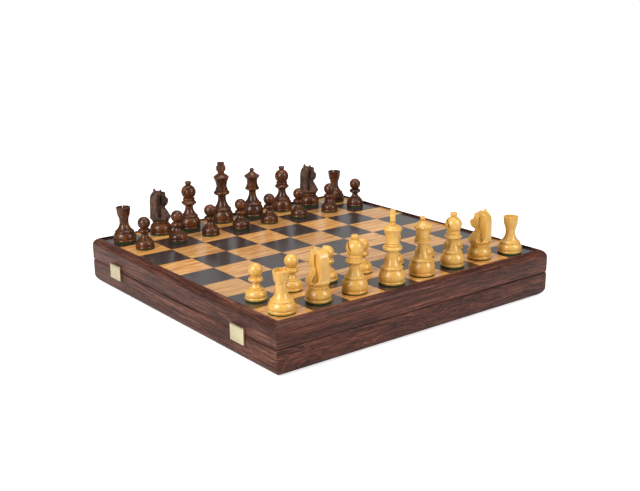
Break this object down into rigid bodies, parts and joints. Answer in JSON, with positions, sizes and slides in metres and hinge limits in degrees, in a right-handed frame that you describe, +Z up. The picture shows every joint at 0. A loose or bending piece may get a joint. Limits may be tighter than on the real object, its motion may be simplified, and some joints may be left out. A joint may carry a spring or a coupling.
{
  "type": "chess box",
  "caption": "Square wooden chess box: a sunk board on a hinged lid over a lined tray, brass clasps in front, and light and dark turned men standing on the board.",
  "frame": {"origin": "middle of the underside, on the table", "axes": "+X to the light player, -Y to the clasps, +Y to the hinges, +Z up"},
  "size_m": [0.39, 0.3984, 0.1335],
  "materials": {
    "wenge": "satin lacquer over fine straight grain",
    "oak_veneer": "gloss lacquer",
    "ebonised_veneer": "gloss lacquer",
    "plywood": "stained",
    "tray_felt": "short felt",
    "brass": "lacquered, lightly brushed",
    "boxwood": "satin gloss, turned",
    "rosewood": "gloss, stained and turned",
    "green_felt": "short felt"
  },
  "bodies": {
    "base": {"base_front_rail": "wenge", "base_back_rail": "wenge", "base_left_rail": "wenge", "base_right_rail": "wenge", "base_panel": "plywood", "base_lining": "tray_felt", "storage_dividers": "tray_felt", "left_hinge_base_leaf": "brass", "right_hinge_base_leaf": "brass", "left_hinge_pin": "brass", "right_hinge_pin": "brass", "hinge_screws_base": "brass", "clasp_catches": "brass"},
    "lid": {"lid_front_rail": "wenge", "lid_back_rail": "wenge", "lid_left_rail": "wenge", "lid_right_rail": "wenge", "board_panel": "plywood", "light_squares": "oak_veneer", "dark_squares": "ebonised_veneer", "lid_lining": "tray_felt", "left_hinge_lid_leaf": "brass", "right_hinge_lid_leaf": "brass", "hinge_screws_lid": "brass", "clasp_leaves": "brass", "clasp_pins": "brass"},
    "left_clasp_flap": {"left_clasp_flap": "brass"},
    "right_clasp_flap": {"right_clasp_flap": "brass"},
    "light_king": {"light_king": "boxwood"},
    "light_queen": {"light_queen": "boxwood"},
    "light_bishop_1": {"light_bishop_1": "boxwood"},
    "light_bishop_2": {"light_bishop_2": "boxwood"},
    "light_knight_1": {"light_knight_1": "boxwood"},
    "light_knight_2": {"light_knight_2": "boxwood"},
    "light_rook_1": {"light_rook_1": "boxwood"},
    "light_rook_2": {"light_rook_2": "boxwood"},
    "light_pawn_1": {"light_pawn_1": "boxwood"},
    "light_pawn_2": {"light_pawn_2": "boxwood"},
    "light_pawn_3": {"light_pawn_3": "boxwood"},
    "light_pawn_4": {"light_pawn_4": "boxwood"},
    "light_pawn_5": {"light_pawn_5": "boxwood"},
    "light_pawn_6": {"light_pawn_6": "boxwood"},
    "light_pawn_7": {"light_pawn_7": "boxwood"},
    "light_pawn_8": {"light_pawn_8": "boxwood"},
    "dark_king": {"dark_king": "rosewood"},
    "dark_queen": {"dark_queen": "rosewood"},
    "dark_bishop_1": {"dark_bishop_1": "rosewood"},
    "dark_bishop_2": {"dark_bishop_2": "rosewood"},
    "dark_knight_1": {"dark_knight_1": "rosewood"},
    "dark_knight_2": {"dark_knight_2": "rosewood"},
    "dark_rook_1": {"dark_rook_1": "rosewood"},
    "dark_rook_2": {"dark_rook_2": "rosewood"},
    "dark_pawn_1": {"dark_pawn_1": "rosewood"},
    "dark_pawn_2": {"dark_pawn_2": "rosewood"},
    "dark_pawn_3": {"dark_pawn_3": "rosewood"},
    "dark_pawn_4": {"dark_pawn_4": "rosewood"},
    "dark_pawn_5": {"dark_pawn_5": "rosewood"},
    "dark_pawn_6": {"dark_pawn_6": "rosewood"},
    "dark_pawn_7": {"dark_pawn_7": "rosewood"},
    "dark_pawn_8": {"dark_pawn_8": "rosewood"}
  },
  "joints": [
    {"name": "lid_hinge", "type": "hinge", "parent": "base", "child": "lid", "pos_m": [0, 0.1978, 0.0291], "axis": [-1, 0, 0], "range_deg": [0, 105]},
    {"name": "clasp_left_hinge", "type": "hinge", "parent": "lid", "child": "left_clasp_flap", "pos_m": [-0.131, -0.1967, 0.0362], "axis": [-1, 0, 0], "range_deg": [0, 120]},
    {"name": "clasp_right_hinge", "type": "hinge", "parent": "lid", "child": "right_clasp_flap", "pos_m": [0.131, -0.1967, 0.0362], "axis": [-1, 0, 0], "range_deg": [0, 120]},
    {"name": "lift_light_king", "type": "slide", "parent": "lid", "child": "light_king", "axis": [0, 0, 1], "range_m": [0, 0.1]},
    {"name": "lift_light_queen", "type": "slide", "parent": "lid", "child": "light_queen", "axis": [0, 0, 1], "range_m": [0, 0.1]},
    {"name": "lift_light_bishop_1", "type": "slide", "parent": "lid", "child": "light_bishop_1", "axis": [0, 0, 1], "range_m": [0, 0.1]},
    {"name": "lift_light_bishop_2", "type": "slide", "parent": "lid", "child": "light_bishop_2", "axis": [0, 0, 1], "range_m": [0, 0.1]},
    {"name": "lift_light_knight_1", "type": "slide", "parent": "lid", "child": "light_knight_1", "axis": [0, 0, 1], "range_m": [0, 0.1]},
    {"name": "lift_light_knight_2", "type": "slide", "parent": "lid", "child": "light_knight_2", "axis": [0, 0, 1], "range_m": [0, 0.1]},
    {"name": "lift_light_rook_1", "type": "slide", "parent": "lid", "child": "light_rook_1", "axis": [0, 0, 1], "range_m": [0, 0.1]},
    {"name": "lift_light_rook_2", "type": "slide", "parent": "lid", "child": "light_rook_2", "axis": [0, 0, 1], "range_m": [0, 0.1]},
    {"name": "lift_light_pawn_1", "type": "slide", "parent": "lid", "child": "light_pawn_1", "axis": [0, 0, 1], "range_m": [0, 0.1]},
    {"name": "lift_light_pawn_2", "type": "slide", "parent": "lid", "child": "light_pawn_2", "axis": [0, 0, 1], "range_m": [0, 0.1]},
    {"name": "lift_light_pawn_3", "type": "slide", "parent": "lid", "child": "light_pawn_3", "axis": [0, 0, 1], "range_m": [0, 0.1]},
    {"name": "lift_light_pawn_4", "type": "slide", "parent": "lid", "child": "light_pawn_4", "axis": [0, 0, 1], "range_m": [0, 0.1]},
    {"name": "lift_light_pawn_5", "type": "slide", "parent": "lid", "child": "light_pawn_5", "axis": [0, 0, 1], "range_m": [0, 0.1]},
    {"name": "lift_light_pawn_6", "type": "slide", "parent": "lid", "child": "light_pawn_6", "axis": [0, 0, 1], "range_m": [0, 0.1]},
    {"name": "lift_light_pawn_7", "type": "slide", "parent": "lid", "child": "light_pawn_7", "axis": [0, 0, 1], "range_m": [0, 0.1]},
    {"name": "lift_light_pawn_8", "type": "slide", "parent": "lid", "child": "light_pawn_8", "axis": [0, 0, 1], "range_m": [0, 0.1]},
    {"name": "lift_dark_king", "type": "slide", "parent": "lid", "child": "dark_king", "axis": [0, 0, 1], "range_m": [0, 0.1]},
    {"name": "lift_dark_queen", "type": "slide", "parent": "lid", "child": "dark_queen", "axis": [0, 0, 1], "range_m": [0, 0.1]},
    {"name": "lift_dark_bishop_1", "type": "slide", "parent": "lid", "child": "dark_bishop_1", "axis": [0, 0, 1], "range_m": [0, 0.1]},
    {"name": "lift_dark_bishop_2", "type": "slide", "parent": "lid", "child": "dark_bishop_2", "axis": [0, 0, 1], "range_m": [0, 0.1]},
    {"name": "lift_dark_knight_1", "type": "slide", "parent": "lid", "child": "dark_knight_1", "axis": [0, 0, 1], "range_m": [0, 0.1]},
    {"name": "lift_dark_knight_2", "type": "slide", "parent": "lid", "child": "dark_knight_2", "axis": [0, 0, 1], "range_m": [0, 0.1]},
    {"name": "lift_dark_rook_1", "type": "slide", "parent": "lid", "child": "dark_rook_1", "axis": [0, 0, 1], "range_m": [0, 0.1]},
    {"name": "lift_dark_rook_2", "type": "slide", "parent": "lid", "child": "dark_rook_2", "axis": [0, 0, 1], "range_m": [0, 0.1]},
    {"name": "lift_dark_pawn_1", "type": "slide", "parent": "lid", "child": "dark_pawn_1", "axis": [0, 0, 1], "range_m": [0, 0.1]},
    {"name": "lift_dark_pawn_2", "type": "slide", "parent": "lid", "child": "dark_pawn_2", "axis": [0, 0, 1], "range_m": [0, 0.1]},
    {"name": "lift_dark_pawn_3", "type": "slide", "parent": "lid", "child": "dark_pawn_3", "axis": [0, 0, 1], "range_m": [0, 0.1]},
    {"name": "lift_dark_pawn_4", "type": "slide", "parent": "lid", "child": "dark_pawn_4", "axis": [0, 0, 1], "range_m": [0, 0.1]},
    {"name": "lift_dark_pawn_5", "type": "slide", "parent": "lid", "child": "dark_pawn_5", "axis": [0, 0, 1], "range_m": [0, 0.1]},
    {"name": "lift_dark_pawn_6", "type": "slide", "parent": "lid", "child": "dark_pawn_6", "axis": [0, 0, 1], "range_m": [0, 0.1]},
    {"name": "lift_dark_pawn_7", "type": "slide", "parent": "lid", "child": "dark_pawn_7", "axis": [0, 0, 1], "range_m": [0, 0.1]},
    {"name": "lift_dark_pawn_8", "type": "slide", "parent": "lid", "child": "dark_pawn_8", "axis": [0, 0, 1], "range_m": [0, 0.1]}
  ]
}
